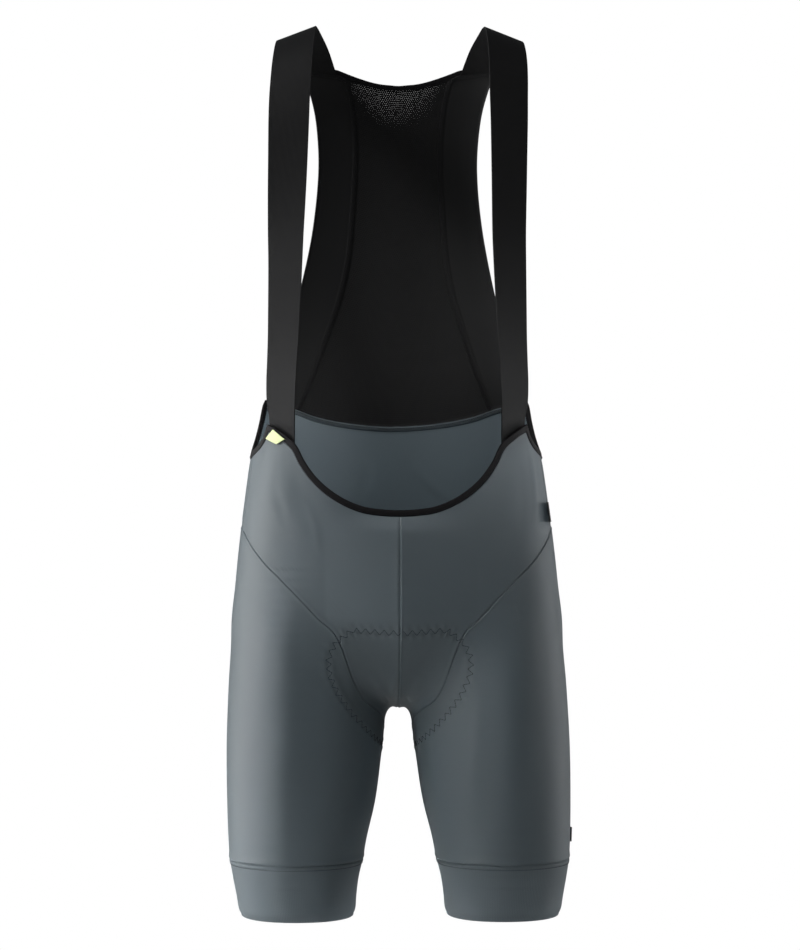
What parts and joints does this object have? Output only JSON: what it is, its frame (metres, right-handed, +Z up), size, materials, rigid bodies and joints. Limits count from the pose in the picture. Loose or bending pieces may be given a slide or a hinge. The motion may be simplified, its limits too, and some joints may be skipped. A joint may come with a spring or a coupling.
{
  "type": "cycling bib shorts",
  "caption": "Cycling bib shorts filled out as worn: wide elastic shoulder straps, an open mesh back, a low-cut front opening, a stitched seat pad and wide bands at the thighs.",
  "frame": {"origin": "midway between the crests of the shoulder straps, where the wearer's shoulders hold the garment up", "axes": "+Z up, +X to the wearer's left, -Y to the wearer's front"},
  "size_m": [0.3623, 0.2348, 0.9303],
  "materials": {
    "slate_knit": "smooth slate grey warp knit with a soft sheen",
    "leg_band_knit": "slate grey knit with fine upright ribs",
    "black_knit": "matt black stretch knit",
    "black_mesh": "matt black open mesh",
    "black_elastic": "black woven elastic",
    "black_edging": "folded black elastic binding",
    "pad_fleece": "brushed fleece over foam",
    "pale_label": "plain pale yellow-green woven tape"
  },
  "bodies": {
    "root": {"front_panel_left": "slate_knit", "front_panel_right": "slate_knit", "back_panel": "slate_knit", "leg_panel_left": "slate_knit", "leg_panel_right": "slate_knit", "leg_gripper_left": "leg_band_knit", "leg_gripper_right": "leg_band_knit", "back_mesh_panel": "black_mesh", "side_back_panel_left": "black_knit", "side_back_panel_right": "black_knit", "strap_left": "black_elastic", "strap_right": "black_elastic", "waist_binding": "black_edging", "neck_binding": "black_edging", "seat_pad": "pad_fleece", "waist_label": "pale_label", "hip_tab": "black_knit", "leg_tag": "black_knit"}
  },
  "joints": []
}
